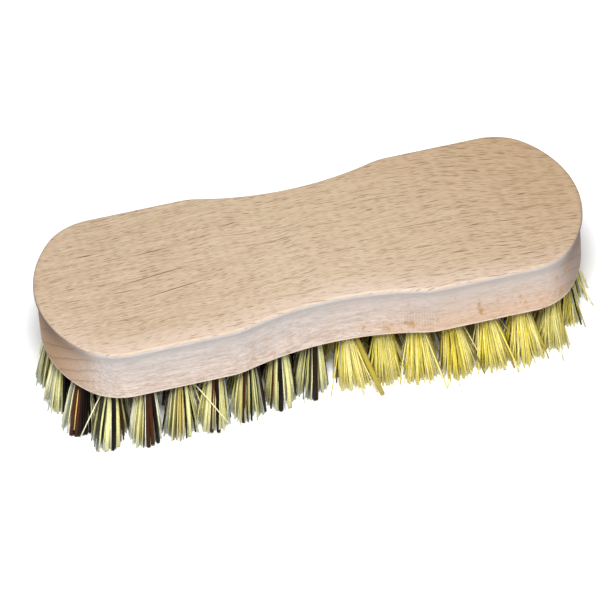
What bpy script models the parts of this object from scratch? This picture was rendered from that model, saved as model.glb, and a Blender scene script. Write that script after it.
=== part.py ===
"""A waisted wooden vegetable brush, standing on its bristle tips.

One beech block, drilled from below with blind holes, carries two halves of plant-fibre tufts: a hard
mixed fibre on the -X half and a soft yellow fibre on the +X half. Each tuft is a bundle folded over a
flat wire anchor, pushed into its hole and fanned out below. The tufts of the outer row follow the
outline of the block and lean outwards, and the inner ones stand upright.

Lengths are in metres. X runs along the brush, +Z is up, and Z = 0 is the plane of the trimmed tips.
"""

import math

import bmesh
import bpy
from mathutils import Matrix, Vector

# Outline of the block at its lip, seen from above
BLOCK_LENGTH = 0.1350
BLOCK_WIDTH = 0.0501
WAIST_DEPTH = 0.0040  # how far each long side is drawn in at the middle
WAIST_RADIUS = 0.0716
SHOULDER_RADIUS = 0.0154
CORNER_RADIUS = 0.0143
END_BOW = 0.0126  # how far each end bulges beyond the ends of the straight sides

# Side of the block, from the top down
BLOCK_HEIGHT = 0.0147
LIP_ROUND = 0.0008
LIP_HEIGHT = 0.0011  # from the top face to the start of the finger cove
COVE_HEIGHT = 0.0080
COVE_DEPTH = 0.0007
SKIRT_INSET = 0.0006  # how far the upright side below the cove stands back from the lip
EDGE_ROUND = 0.0004

# Tuft holes
OUTER_ROW_TUFTS = 36  # a multiple of four, so that the row is the same in each quarter
OUTER_ROW_INSET = 0.0045
OUTER_ROW_LEAN = math.radians(6.0)
INNER_ROW_TUFTS = 10  # in each of the two straight inner rows
ROW_GAP = 0.0083  # from the end of the outer row to the tuft that closes the inner rows
HOLE_DIAMETER = 0.0046
HOLE_DEPTH = 0.0090
DRILL_POINT_ANGLE = math.radians(31.0)

# Tufts
BRISTLE_LENGTH = 0.0155  # from the underside of the block to the trimmed tips
TRIM_DEPTH = 0.0005
TUFT_TIP_DIAMETER = 0.0078
TUFT_GAP = 0.00015  # least distance from a tuft's tips to the plane midway to the next tuft
TUFT_CLEARANCE = 0.0004
TUFT_PROUD = 0.0004  # how far the bound root shows below the hole
FOLD_RISE = 0.0005
STRAND_GAP = 0.00025
OUTER_ROW_STRANDS = 8
INNER_ROW_STRANDS = 6
STRAND_FLARE = 1.45  # a strand is a lock of fibres, this much wider at its tip than at its root
NARROW_FAN_SHARE = 0.3  # every second strand fans out only this far
HARD_DARK_STRANDS = (1, 4, 6)  # places of the dark strands round a hard tuft

# Wire anchors
ANCHOR_THICKNESS = 0.0004
ANCHOR_HEIGHT = 0.0020
ANCHOR_CLEARANCE = 0.0003
ANCHOR_COVER = 0.0006  # fibre folded over the anchor

# Facets
HOLE_FACETS = 12
WAIST_FACETS = 5
SHOULDER_FACETS = 4
CORNER_FACETS = 6
END_FACETS = 5
COVE_FACETS = 6
ROUND_FACETS = 3
SMOOTH_ANGLE = math.radians(35.0)
ARC_STEPS_FOR_LENGTH = 40  # finer arcs, used only to space the outer row evenly

BEECH_COLOUR = "E0C6A3"
PALE_FIBRE_COLOUR = "D6D3A2"
DARK_FIBRE_COLOUR = "3A2015"
SOFT_FIBRE_COLOUR = "D9CB6B"
WIRE_COLOUR = "A9A9A4"


def linear_colour(srgb_hex):
    """The linear RGBA colour of an sRGB hex code."""
    channels = [int(srgb_hex[i : i + 2], 16) / 255 for i in (0, 2, 4)]
    linear = [c / 12.92 if c <= 0.04045 else ((c + 0.055) / 1.055) ** 2.4 for c in channels]
    return (*linear, 1.0)


def make_material(name, srgb_hex, roughness, metallic=0.0):
    material = bpy.data.materials.new(name)
    material.use_nodes = True
    shader = material.node_tree.nodes["Principled BSDF"]
    shader.inputs["Base Color"].default_value = linear_colour(srgb_hex)
    shader.inputs["Roughness"].default_value = roughness
    shader.inputs["Metallic"].default_value = metallic
    return material


def add_object(name, mesh, parent=None, location=(0.0, 0.0, 0.0), turn=0.0):
    """A new object in the scene, turned about +Z."""
    obj = bpy.data.objects.new(name, mesh)
    bpy.context.scene.collection.objects.link(obj)
    obj.parent = parent
    obj.location = location
    obj.rotation_euler = (0.0, 0.0, turn)
    return obj


def mesh_from(bm, name, materials):
    mesh = bpy.data.meshes.new(name)
    bm.to_mesh(mesh)
    bm.free()
    for material in materials:
        mesh.materials.append(material)
    return mesh


def arc(centre, radius, start, end, steps):
    """Points along an arc, without its last one, which begins the next stretch."""
    angles = [start + (end - start) * i / steps for i in range(steps)]
    return [Vector((centre.x + radius * math.cos(a), centre.y + radius * math.sin(a))) for a in angles]


def quarter_outline(inset, facets):
    """The block's outline in its +X +Y quarter, from the end to the waist, moved inwards by inset.

    The stretches are tangent arcs about fixed centres: the bowed end, the corner, a short straight side,
    the shoulder and the hollow waist. An inset only changes the radii.
    """
    end_facets, corner_facets, shoulder_facets, waist_facets = facets
    half_width = BLOCK_WIDTH / 2
    end_radius = (half_width**2 + END_BOW**2) / (2 * END_BOW)
    end_centre = Vector((BLOCK_LENGTH / 2 - end_radius, 0.0))
    corner_rise = half_width - CORNER_RADIUS
    corner_run = math.sqrt((end_radius - CORNER_RADIUS) ** 2 - corner_rise**2)
    corner_centre = end_centre + Vector((corner_run, corner_rise))
    bends = WAIST_RADIUS + SHOULDER_RADIUS
    shoulder_run = math.sqrt(bends**2 - (bends - WAIST_DEPTH) ** 2)
    shoulder_centre = Vector((shoulder_run, half_width - SHOULDER_RADIUS))
    waist_centre = Vector((0.0, half_width - WAIST_DEPTH + WAIST_RADIUS))

    end_angle = math.atan2(corner_rise, corner_run)
    to_waist = waist_centre - shoulder_centre
    shoulder_angle = math.atan2(to_waist.y, to_waist.x)
    upwards = math.pi / 2
    points = arc(end_centre, end_radius - inset, 0.0, end_angle, end_facets)
    points += arc(corner_centre, CORNER_RADIUS - inset, end_angle, upwards, corner_facets)
    points.append(corner_centre + Vector((0.0, CORNER_RADIUS - inset)))
    points += arc(shoulder_centre, SHOULDER_RADIUS - inset, upwards, shoulder_angle, shoulder_facets)
    points += arc(waist_centre, WAIST_RADIUS + inset, shoulder_angle - math.pi, -upwards, waist_facets)
    points.append(waist_centre - Vector((0.0, WAIST_RADIUS + inset)))
    return points


def outline(inset):
    """The whole outline, counterclockwise from the +X end."""
    quarter = quarter_outline(inset, (END_FACETS, CORNER_FACETS, SHOULDER_FACETS, WAIST_FACETS))
    half = quarter + [Vector((-p.x, p.y)) for p in reversed(quarter[:-1])]
    return half + [Vector((p.x, -p.y)) for p in reversed(half[1:-1])]


def side_profile():
    """(height above the underside, inset) up the side of the block, from the bottom edge to the top."""
    skirt_height = BLOCK_HEIGHT - LIP_HEIGHT - COVE_HEIGHT
    profile = []
    for i in range(ROUND_FACETS + 1):
        angle = math.pi / 2 * (1 - i / ROUND_FACETS)
        height = EDGE_ROUND * (1 - math.sin(angle))
        profile.append((height, SKIRT_INSET + EDGE_ROUND * (1 - math.cos(angle))))
    for i in range(COVE_FACETS):
        share = i / COVE_FACETS
        hollow = COVE_DEPTH * share**2 * (1 - share) * 27 / 4  # deepest two thirds of the way up
        profile.append((skirt_height + COVE_HEIGHT * share, SKIRT_INSET * (1 - share**2) + hollow))
    profile.append((BLOCK_HEIGHT - LIP_HEIGHT, 0.0))
    for i in range(ROUND_FACETS + 1):
        angle = math.pi / 2 * i / ROUND_FACETS
        height = BLOCK_HEIGHT - LIP_ROUND * (1 - math.sin(angle))
        profile.append((height, LIP_ROUND * (1 - math.cos(angle))))
    return profile


def block_mesh(material):
    """The block without its holes: the outline, drawn up through each line of the side profile."""
    bm = bmesh.new()
    profile = side_profile()
    height, inset = profile[0]
    ring = [bm.verts.new((p.x, p.y, height)) for p in outline(inset)]
    underside = bm.faces.new(ring)
    face = underside
    for height, inset in profile[1:]:
        drawn = bmesh.ops.extrude_face_region(bm, geom=[face])
        if face is not underside:
            bm.faces.remove(face)
        face = next(g for g in drawn["geom"] if isinstance(g, bmesh.types.BMFace))
        for vert, p in zip(ordered_ring(face), outline(inset)):
            vert.co = (p.x, p.y, height)
    bmesh.ops.recalc_face_normals(bm, faces=bm.faces)
    mesh = mesh_from(bm, "block", [material])
    mesh.shade_smooth()
    mesh.set_sharp_from_angle(angle=SMOOTH_ANGLE)
    return mesh


def ordered_ring(face):
    """A flat face's corners counterclockwise from the one that lies furthest along +X."""
    corners = [loop.vert for loop in face.loops]
    if face.normal.z < 0:
        corners.reverse()
    first = max(range(len(corners)), key=lambda i: corners[i].co.x)
    return corners[first:] + corners[:first]


def outer_row_places():
    """(x, y, outward angle) of the outer row's tufts in the +X +Y quarter, evenly spaced."""
    steps = [ARC_STEPS_FOR_LENGTH] * 4
    points = quarter_outline(OUTER_ROW_INSET, steps)
    lengths = [(b - a).length for a, b in zip(points, points[1:])]
    count = OUTER_ROW_TUFTS // 4
    pitch = sum(lengths) / count
    places = []
    walked = 0.0
    for a, b, length in zip(points, points[1:], lengths):
        while len(places) < count and (len(places) + 0.5) * pitch <= walked + length:
            along = b - a
            place = a + along * (((len(places) + 0.5) * pitch - walked) / length)
            places.append((place.x, place.y, math.atan2(-along.x, along.y)))
        walked += length
    return places


def tuft_places():
    """(row, x, y, outward angle) of every tuft, the outer row first."""
    places = []
    for x, y, angle in outer_row_places():
        places += [
            ("outer", x, y, angle),
            ("outer", -x, y, math.pi - angle),
            ("outer", -x, -y, math.pi + angle),
            ("outer", x, -y, -angle),
        ]
    waist_line = BLOCK_WIDTH / 2 - WAIST_DEPTH - OUTER_ROW_INSET
    row_y = waist_line / 3  # four rows, evenly spaced across the waist
    closing_x = BLOCK_LENGTH / 2 - OUTER_ROW_INSET - ROW_GAP
    pitch = 2 * closing_x / (INNER_ROW_TUFTS + 0.5)
    for i in range(INNER_ROW_TUFTS):
        x = (i - (INNER_ROW_TUFTS - 1) / 2) * pitch
        places += [("inner", x, row_y, 0.0), ("inner", x, -row_y, 0.0)]
    places += [("inner", closing_x, 0.0, 0.0), ("inner", -closing_x, 0.0, 0.0)]
    return places


def lean_of(row):
    return OUTER_ROW_LEAN if row == "outer" else 0.0


def lean_matrix(row):
    """Turns an upright tuft or drill so that its lower end leans towards +X."""
    return Matrix.Rotation(-lean_of(row), 4, "Y")


def tip_reach(places):
    """How far a tuft's tips may fan out from its middle without meeting the next tuft's."""
    tips = []
    for row, x, y, angle in places:
        swing = BRISTLE_LENGTH * math.tan(lean_of(row))
        tips.append(Vector((x + swing * math.cos(angle), y + swing * math.sin(angle))))
    nearest = min((a - b).length for i, a in enumerate(tips) for b in tips[i + 1 :])
    return min(TUFT_TIP_DIAMETER / 2, nearest / 2 - TUFT_GAP)


def add_drill(bm, row, x, y, angle):
    """One drill with its point, from below the underside up into the block."""
    radius = HOLE_DIAMETER / 2
    run_out = HOLE_DIAMETER  # drill below the underside, so that the cut goes clear through it
    drill = bmesh.ops.create_cone(
        bm,
        cap_ends=True,
        cap_tris=True,
        segments=HOLE_FACETS,
        radius1=radius,
        radius2=radius,
        depth=HOLE_DEPTH + run_out,
        matrix=Matrix.Translation((0.0, 0.0, (HOLE_DEPTH - run_out) / 2)),
    )
    for vert in drill["verts"]:
        if vert.co.z > 0 and vert.co.xy.length < radius / 2:
            vert.co.z += radius * math.tan(DRILL_POINT_ANGLE)
    placed = Matrix.Translation((x, y, 0.0)) @ Matrix.Rotation(angle, 4, "Z") @ lean_matrix(row)
    bmesh.ops.transform(bm, matrix=placed, verts=drill["verts"])


def add_block(places, material):
    block = add_object("block", block_mesh(material), location=(0.0, 0.0, BRISTLE_LENGTH))
    bm = bmesh.new()
    for row, x, y, angle in places:
        add_drill(bm, row, x, y, angle)
    drills = add_object("hole_drills", mesh_from(bm, "hole_drills", []), parent=block)
    drills.hide_render = True
    drills.display_type = "WIRE"
    holes = block.modifiers.new("tuft_holes", "BOOLEAN")
    holes.operation = "DIFFERENCE"
    holes.solver = "EXACT"
    holes.object = drills
    return block


def bundle(strands, reach, drop, dark_strands):
    """An upright tuft before it leans and is trimmed, its origin at the mouth of the hole.

    The root is a short cylinder. Its lower end is cut into sectors, each is inset, and each is drawn down
    and outwards as one strand, so no strand touches the next.
    """
    bm = bmesh.new()
    root_radius = HOLE_DIAMETER / 2 - TUFT_CLEARANCE
    root_top = HOLE_DEPTH - TUFT_CLEARANCE
    flat_towards_anchor = Matrix.Rotation(math.pi / 2 - math.pi / strands, 4, "Z")
    bmesh.ops.create_cone(
        bm,
        cap_ends=True,
        cap_tris=True,
        segments=strands,
        radius1=root_radius,
        radius2=root_radius,
        depth=root_top + TUFT_PROUD,
        matrix=Matrix.Translation((0.0, 0.0, (root_top - TUFT_PROUD) / 2)) @ flat_towards_anchor,
    )
    for vert in bm.verts:
        if vert.co.z > 0 and vert.co.xy.length < root_radius / 2:
            vert.co.z += FOLD_RISE
    bm.normal_update()
    sectors = [f for f in bm.faces if f.normal.z < -0.9]
    sectors.sort(key=lambda f: math.atan2(f.calc_center_median().y, f.calc_center_median().x))
    bmesh.ops.inset_individual(bm, faces=sectors, thickness=STRAND_GAP / 2, use_even_offset=True)
    for place, sector in enumerate(sectors):
        centre = sector.calc_center_median()
        drawn = bmesh.ops.extrude_discrete_faces(bm, faces=[sector])["faces"][0]
        flare = Matrix.Diagonal((STRAND_FLARE, STRAND_FLARE, 1.0, 1.0))
        bmesh.ops.transform(bm, matrix=flare, space=Matrix.Translation(-centre), verts=drawn.verts)
        room = reach - max(vert.co.xy.length for vert in drawn.verts)
        share = 1.0 if place % 2 == 0 else NARROW_FAN_SHARE
        fan = centre.xy.normalized() * room * share
        bmesh.ops.translate(bm, vec=(*fan, -drop), verts=drawn.verts)
        if place in dark_strands:
            colour_strand(drawn)
    return bm


def colour_strand(tip):
    """Gives the second material to a strand's sides and tip."""
    tip.material_index = 1
    for edge in tip.edges:
        for face in edge.link_faces:
            face.material_index = 1


def anchor_box(materials):
    """The flat wire that the fibres fold over, which crosses the tuft near the bottom of the hole."""
    bm = bmesh.new()
    length = HOLE_DIAMETER - 2 * ANCHOR_CLEARANCE
    middle = HOLE_DEPTH - TUFT_CLEARANCE - ANCHOR_COVER - ANCHOR_HEIGHT / 2
    bmesh.ops.create_cube(
        bm,
        size=1.0,
        matrix=Matrix.Translation((0.0, 0.0, middle))
        @ Matrix.Diagonal((ANCHOR_THICKNESS, length, ANCHOR_HEIGHT, 1.0)),
    )
    for face in bm.faces:
        face.material_index = 2
    return mesh_from(bm, "anchor", materials)


def joined(first, second):
    """The union of two meshes, as a bmesh."""
    body = add_object("tuft_body", first)
    tool = add_object("tuft_anchor", second)
    union = body.modifiers.new("anchor", "BOOLEAN")
    union.operation = "UNION"
    union.solver = "EXACT"
    union.object = tool
    graph = bpy.context.evaluated_depsgraph_get()
    bm = bmesh.new()
    bm.from_object(body, graph)
    for obj in (body, tool):
        mesh = obj.data
        bpy.data.objects.remove(obj)
        bpy.data.meshes.remove(mesh)
    return bm


def tuft_mesh(name, row, reach, materials, dark_strands=()):
    """A whole tuft: strands, root and anchor in one body, leaning as its row does and trimmed flat."""
    strands = OUTER_ROW_STRANDS if row == "outer" else INNER_ROW_STRANDS
    lean = lean_of(row)
    drop = (BRISTLE_LENGTH + TRIM_DEPTH + reach * math.sin(lean)) / math.cos(lean)
    body = mesh_from(bundle(strands, reach, drop, dark_strands), "tuft_body", materials)
    bm = joined(body, anchor_box(materials))
    bmesh.ops.transform(bm, matrix=lean_matrix(row), verts=bm.verts)
    cut = bmesh.ops.bisect_plane(
        bm,
        geom=[*bm.verts, *bm.edges, *bm.faces],
        plane_co=(0.0, 0.0, -BRISTLE_LENGTH),
        plane_no=(0.0, 0.0, -1.0),
        clear_outer=True,
    )
    edges = [g for g in cut["geom_cut"] if isinstance(g, bmesh.types.BMEdge)]
    bmesh.ops.holes_fill(bm, edges=edges)
    bmesh.ops.triangulate(bm, faces=bm.faces)
    return mesh_from(bm, name, materials)


def add_tufts(block, places, reach, fibres, wire):
    """One object for each tuft, numbered within its half and row from the -X end."""
    meshes = {}
    for half, (main, second, dark_strands) in fibres.items():
        for row in ("outer", "inner"):
            name = f"{half}_{row}_tuft"
            meshes[half, row] = tuft_mesh(name, row, reach, [main, second, wire], dark_strands)
    counts = {}
    for row, x, y, angle in sorted(places, key=lambda place: (place[1], place[2])):
        half = "hard" if x < 0 else "soft"
        counts[half, row] = counts.get((half, row), 0) + 1
        name = f"{half}_{row}_tuft_{counts[half, row]:02d}"
        add_object(name, meshes[half, row], parent=block, location=(x, y, 0.0), turn=angle)


def main():
    for obj in list(bpy.data.objects):
        bpy.data.objects.remove(obj)
    beech = make_material("beech", BEECH_COLOUR, roughness=0.62)
    pale = make_material("pale_hard_fibre", PALE_FIBRE_COLOUR, roughness=0.55)
    dark = make_material("dark_hard_fibre", DARK_FIBRE_COLOUR, roughness=0.5)
    soft = make_material("soft_fibre", SOFT_FIBRE_COLOUR, roughness=0.55)
    wire = make_material("anchor_wire", WIRE_COLOUR, roughness=0.35, metallic=1.0)
    places = tuft_places()
    block = add_block(places, beech)
    fibres = {"hard": (pale, dark, HARD_DARK_STRANDS), "soft": (soft, soft, ())}
    add_tufts(block, places, tip_reach(places), fibres, wire)


main()
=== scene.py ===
"""Looks of a waisted beech vegetable brush that stands on its bristle tips.

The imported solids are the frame: the block is drawn again with finer facets over the same sizes, and each
tuft solid is replaced by the fibres that it stands for, folded over their wire anchor. Lengths are in
metres unless a name says otherwise. X runs along the brush, +Z is up, and Z = 0 is the plane of the tips.
"""

import logging
import math
import random
from dataclasses import dataclass, field
from enum import Enum
from typing import Any

import bmesh
import bpy
from mathutils import Matrix, Quaternion, Vector


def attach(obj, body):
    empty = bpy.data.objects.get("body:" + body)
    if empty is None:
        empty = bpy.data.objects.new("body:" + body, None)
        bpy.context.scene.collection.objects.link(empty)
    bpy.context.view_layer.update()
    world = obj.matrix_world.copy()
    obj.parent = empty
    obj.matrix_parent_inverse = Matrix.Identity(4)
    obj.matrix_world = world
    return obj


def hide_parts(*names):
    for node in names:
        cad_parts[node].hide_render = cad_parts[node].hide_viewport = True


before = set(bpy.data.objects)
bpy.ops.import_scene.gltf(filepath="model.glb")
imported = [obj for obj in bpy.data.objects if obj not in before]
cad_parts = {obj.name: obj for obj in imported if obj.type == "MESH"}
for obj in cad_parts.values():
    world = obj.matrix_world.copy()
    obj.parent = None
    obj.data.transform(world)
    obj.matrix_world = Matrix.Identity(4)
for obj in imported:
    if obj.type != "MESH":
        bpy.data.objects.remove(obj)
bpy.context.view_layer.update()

log = logging.getLogger("brush")

MM = 0.001
MM_PER_M = 1000.0
BODY = "root"
GOLDEN_ANGLE = math.pi * (3.0 - math.sqrt(5.0))

Socket = bpy.types.NodeSocket
Pair = tuple[float, float]
Triple = tuple[float, float, float]
Steps = tuple[int, int, int, int]


class Half(Enum):
    """The two halves of the brush, each filled with its own fibre."""

    HARD = "hard"
    SOFT = "soft"


class Row(Enum):
    """The leaning row that follows the outline, and the upright rows inside it."""

    OUTER = "outer"
    INNER = "inner"


class Axis(Enum):
    """The brush's axes: along it, across it to the back, and up."""

    ALONG = 0
    ACROSS = 1
    UP = 2


def linear(srgb_hex: str) -> tuple[float, float, float, float]:
    """Turns an sRGB hex code into the linear colour that a shader reads, with an alpha of one."""
    channels = [int(srgb_hex[i : i + 2], 16) / 255 for i in (0, 2, 4)]
    return (*(c / 12.92 if c <= 0.04045 else ((c + 0.055) / 1.055) ** 2.4 for c in channels), 1.0)


@dataclass(frozen=True)
class Tone:
    """A colour that a finish takes on in places, and how far it goes there."""

    colour: str
    strength: float = 1.0


@dataclass(frozen=True)
class Finish:
    """A material of one name, and what draws its nodes."""

    name: str

    @property
    def tree(self) -> bpy.types.NodeTree:
        """The material's node tree."""
        return bpy.data.materials[self.name].node_tree

    def start(self) -> None:
        """Makes the material, which holds only its shader and output so far."""
        bpy.data.materials.new(self.name).use_nodes = True

    def fill(self, node: bpy.types.Node, inputs: dict[Any, Any]) -> None:
        """Sets or links a node's inputs.

        Args:
            node: the node.
            inputs: value, or output socket, for each input by its name or number.
        """
        for key, value in inputs.items():
            if isinstance(value, Socket):
                self.tree.links.new(value, node.inputs[key])
            else:
                node.inputs[key].default_value = value

    def add(self, kind: str, inputs: Any = (), out: int | str = 0, **settings: Any) -> Socket:
        """Adds a shader node with its settings and inputs.

        Args:
            kind: the node's type, without its ShaderNode prefix.
            inputs: what its first inputs get, in order, or a dictionary by name or number.
            out: name or number of the output that is wanted.
            settings: attributes of the node itself.

        Returns:
            That output's socket.
        """
        node = self.tree.nodes.new("ShaderNode" + kind)
        for name, value in settings.items():
            setattr(node, name, value)
        self.fill(node, inputs if isinstance(inputs, dict) else dict(enumerate(inputs)))
        return node.outputs[out]

    def toned(self, base: Any, tones: list[tuple[Tone, list[Socket]]]) -> Socket:
        """Lays tones over a colour, one after the other.

        Args:
            base: the colour below them.
            tones: each tone with the shares that are multiplied to say where it shows.

        Returns:
            The socket of the colour.
        """
        for tone, shares in tones:
            shown: Any = tone.strength
            for share in shares:
                shown = self.add("Math", (shown, share), operation="MULTIPLY")
            inputs = {0: shown, 6: base, 7: linear(tone.colour)}
            base = self.add("Mix", inputs, 2, data_type="RGBA")
        return base

    def done(self, inputs: dict[str, Any]) -> bpy.types.Material:
        """Fills in the shader's own inputs, by name, and gives the material."""
        self.fill(self.tree.nodes["Principled BSDF"], inputs)
        return bpy.data.materials[self.name]


@dataclass(frozen=True)
class RayLayer:
    """One size of the wood's rays: the cell that each has to itself, its own half size, and its look.

    The core is the part of a ray that shows at full strength. A layer that grows shows from the first of
    two places along X on, and fully past the second, where the board was cut steeper through its rays.
    """

    cell_mm: Triple
    half_mm: Triple
    hidden_share: float
    strength: float
    core: float = 0.6
    grows_mm: Pair | None = None


@dataclass(frozen=True)
class LongRay:
    """One long dark line on the top face: its middle and half length along X, and its slope."""

    middle_mm: Pair
    half_length_mm: float
    slope: float


@dataclass(frozen=True)
class SandedBeech(Finish):
    """Sanded beech with no varnish: matt, pale tan, with short dark flecks along the grain.

    The flecks are the wood's rays. They are thin plates that stand upright, so the same ones show as fine
    short lines on the top face, as wider patches on the sides, and as hair lines on the ends. A line in
    millimetres is where it lies, and how far from it what it marks begins to show and shows in full.
    """

    name: str = "sanded_beech"
    face_light: str = "CFBB9F"
    face_dark: str = "AE9578"
    face_pink: Tone = Tone("CFB19B", 0.4)
    # Yellower and darker towards the +X +Y corner: partly the wood's tone, partly painted shade.
    face_warm: Tone = Tone("B4936C", 0.62)
    # Painted highlight on the rim of the top face, where the outline faces the front.
    rim_highlight: Tone = Tone("D9C2B0", 0.85)
    face_fleck: Tone = Tone("684412")
    side_light: str = "D7C7BC"
    side_dark: str = "A39183"
    side_pink: Tone = Tone("D2BAAE", 0.3)
    # Yellower and darker towards +X: partly the wood's tone, partly painted shade.
    side_warm: Tone = Tone("C89E76", 0.5)
    cutter_mark: Tone = Tone("A39183", 0.5)
    # Painted shade: the side turns greyer high up, under the lip.
    upper_side_shade: Tone = Tone("B2B1B2", 0.6)
    # Painted shade in the cove below the lip.
    cove_shade: Tone = Tone("6E6A6A", 0.12)
    end_brown: Tone = Tone("BA9060")
    shaded_end: Tone = Tone("7E7270", 0.8)
    # Painted shade on the ends, deepest high up under the lip.
    end_shade: Tone = Tone("5C3B29")
    lip_shadow: Tone = Tone("5C3B29", 0.7)
    # Painted highlight on the round of the bottom edge.
    arris_highlight: Tone = Tone("DCC8B6")
    ring_brown: Tone = Tone("6E503A")
    side_fleck: Tone = Tone("A87E4E")
    roughness: float = 0.62
    rough_spread: float = 0.06
    grain_relief: float = 0.03 * MM
    relief_shown: float = 0.25
    face_flecks: tuple[RayLayer, ...] = (
        RayLayer((34.0, 5.5, 12.0), (10.0, 0.13, 7.0), 0.45, 0.6),
        RayLayer((11.0, 2.4, 9.0), (3.0, 0.12, 5.0), 0.3, 0.8),
        RayLayer((3.6, 0.95, 5.0), (1.2, 0.11, 2.8), 0.0, 0.95),
        RayLayer((2.6, 0.62, 4.0), (0.9, 0.1, 2.2), 0.0, 0.6),
        RayLayer((4.6, 1.2, 5.0), (1.8, 0.135, 2.8), 0.0, 1.0, grows_mm=(-20.0, 35.0)),
        RayLayer((7.0, 2.0, 6.0), (2.6, 0.14, 3.0), 0.3, 1.0, grows_mm=(-20.0, 35.0)),
    )
    side_flecks: tuple[RayLayer, ...] = (
        RayLayer((5.6, 5.0, 4.4), (0.8, 2.8, 1.5), 0.1, 1.0, core=0.3, grows_mm=(-45.0, 0.0)),
        RayLayer((4.2, 3.0, 2.8), (0.8, 1.7, 0.5), 0.1, 1.0, core=0.3, grows_mm=(-45.0, 0.0)),
        RayLayer((3.4, 2.4, 2.2), (0.8, 1.4, 0.5), 0.1, 0.8, core=0.0, grows_mm=(-30.0, 20.0)),
        RayLayer((2.6, 2.0, 1.2), (0.75, 1.2, 0.14), 0.2, 0.45),
    )
    long_rays: tuple[LongRay, ...] = (
        LongRay((49.4, -19.6), 3.1, -0.04),
        LongRay((41.9, -19.5), 2.2, 0.0),
        LongRay((-38.2, 0.1), 11.0, 0.115),
        LongRay((-34.4, -5.9), 10.5, 0.137),
        LongRay((-37.0, 8.7), 5.4, 0.048),
        LongRay((-17.0, 12.6), 2.6, 0.12),
        LongRay((-52.7, 11.9), 2.9, 0.0),
    )
    long_ray_half_width_mm: float = 0.16
    long_ray_core: float = 0.4
    ray_edge: float = 1.1
    ray_disorder: float = 0.8
    fibre_size_mm: Triple = (1.5, 0.25, 0.26)
    streak_size_mm: Triple = (8.0, 0.45, 0.6)
    patch_size_mm: Triple = (8.0, 1.8, 2.2)
    shade_range: Pair = (0.73, 1.27)
    pink_range: Pair = (0.32, 0.78)
    end_range: Pair = (0.48, 0.98)
    plus_end_range: Pair = (0.3, 0.95)
    # Painted pool of light: a paler band along the middle of the top face.
    lit_middle_line_mm: Triple = (14.0, 50.0, 12.0)
    lit_middle_gain: float = 0.32
    # Where the rim's painted highlight fades out towards the +X end.
    rim_fades_mm: Pair = (20.0, 62.0)
    rim_range: Pair = (1.4, 0.0)
    face_warms_mm: Pair = (10.0, 120.0)
    side_warms_mm: Pair = (5.0, 30.0)
    warm_across: float = 0.9
    warm_ragged_mm: float = 50.0
    face_height_mm: Pair = (29.5, 30.15)
    lip_height_mm: Pair = (18.2, 27.7)
    lip_line_mm: Triple = (28.0, 1.5, 0.3)
    # Where the cove's painted shade lies, and where it fades.
    cove_line_mm: Triple = (24.0, 3.8, 0.8)
    # How much warmth the side loses high up: part of its painted shade under the lip.
    warm_lost_high: float = -0.4
    flecks_kept_high: Pair = (1.0, 0.45)
    # How much painted shade the ends take: over all, and more high up under the lip.
    end_shade_at_end: float = 0.28
    end_shade_at_lip: float = 0.85
    ripple_pitch_mm: float = 0.66
    ripple_waver: float = 3.0
    ripple_line_mm: Triple = (21.5, 6.0, 3.0)
    ripple_height_mm: Triple = (20.5, 4.5, 2.0)
    ring_pitch_mm: float = 3.1
    ring_centre_mm: Pair = (-85.0, -115.0)
    ring_waver_mm: float = 3.0
    ring_wavers_per_mm: float = 0.09
    ring_sharpness: float = 8.0
    rings_on_end: float = 0.75
    rings_on_side: float = 0.1
    swing_start_mm: float = 5.0
    swing_per_mm: float = 0.0023
    swing_behind: Pair = (0.03, 0.85)
    grain_wave_mm: float = 6.0
    grain_waves_per_mm: float = 0.035
    ragged_mm: float = 3.5
    ragged_per_mm: float = 0.7

    def build(self) -> bpy.types.Material:
        """Builds the wood's node tree over object coordinates."""
        self.start()
        grain = self.grain_space()
        fibre = self.noise(grain, self.fibre_size_mm, detail=3.0)
        streak = self.noise(grain, self.streak_size_mm, detail=2.0)
        patch = self.noise(grain, self.patch_size_mm, detail=2.0)
        shade = self.add("Math", (fibre, streak), operation="ADD")
        shade = self.add("MapRange", (shade, *self.shade_range))
        pinkness = self.add("MapRange", (patch, *self.pink_range))

        # Painted pool of light along the middle of the top face.
        middle = self.near(Axis.ALONG, self.lit_middle_line_mm)
        tone_with_lit_middle = self.add("Math", (middle, self.lit_middle_gain, shade), operation="MULTIPLY_ADD")
        # The rim's painted highlight, faded out towards the +X end.
        rim = self.add("Attribute", out="Fac", attribute_name="rim")
        rim_kept = self.add("MapRange", (self.past(Axis.ALONG, self.rim_fades_mm), *self.rim_range))
        lines = self.long_lines(self.flecks(grain, self.face_flecks))
        face = self.toned(
            self.toned(linear(self.face_dark), [(Tone(self.face_light), [tone_with_lit_middle])]),
            [
                (self.face_pink, [pinkness]),
                (self.face_warm, [self.warmth(patch, self.face_warms_mm)]),
                # Painted highlight on the rim.
                (self.rim_highlight, [rim, rim_kept]),
                (self.face_fleck, [lines]),
            ],
        )

        high = self.past(Axis.UP, self.lip_height_mm)
        low = self.add("Math", (high, self.warm_lost_high, 1.0), operation="MULTIPLY_ADD")
        end, plus_end = self.end_grain()
        brown = self.add("Math", (end, end), operation="MULTIPLY")
        # Painted shade on the ends, growing high up under the lip.
        end_shade_share = self.add("Math", (high, high), operation="MULTIPLY")
        end_shade_share = self.add("Math", (end_shade_share, self.end_shade_at_lip), operation="MULTIPLY")
        end_shade_share = self.add("Math", (brown, self.end_shade_at_end, end_shade_share), operation="MULTIPLY_ADD")
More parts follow.
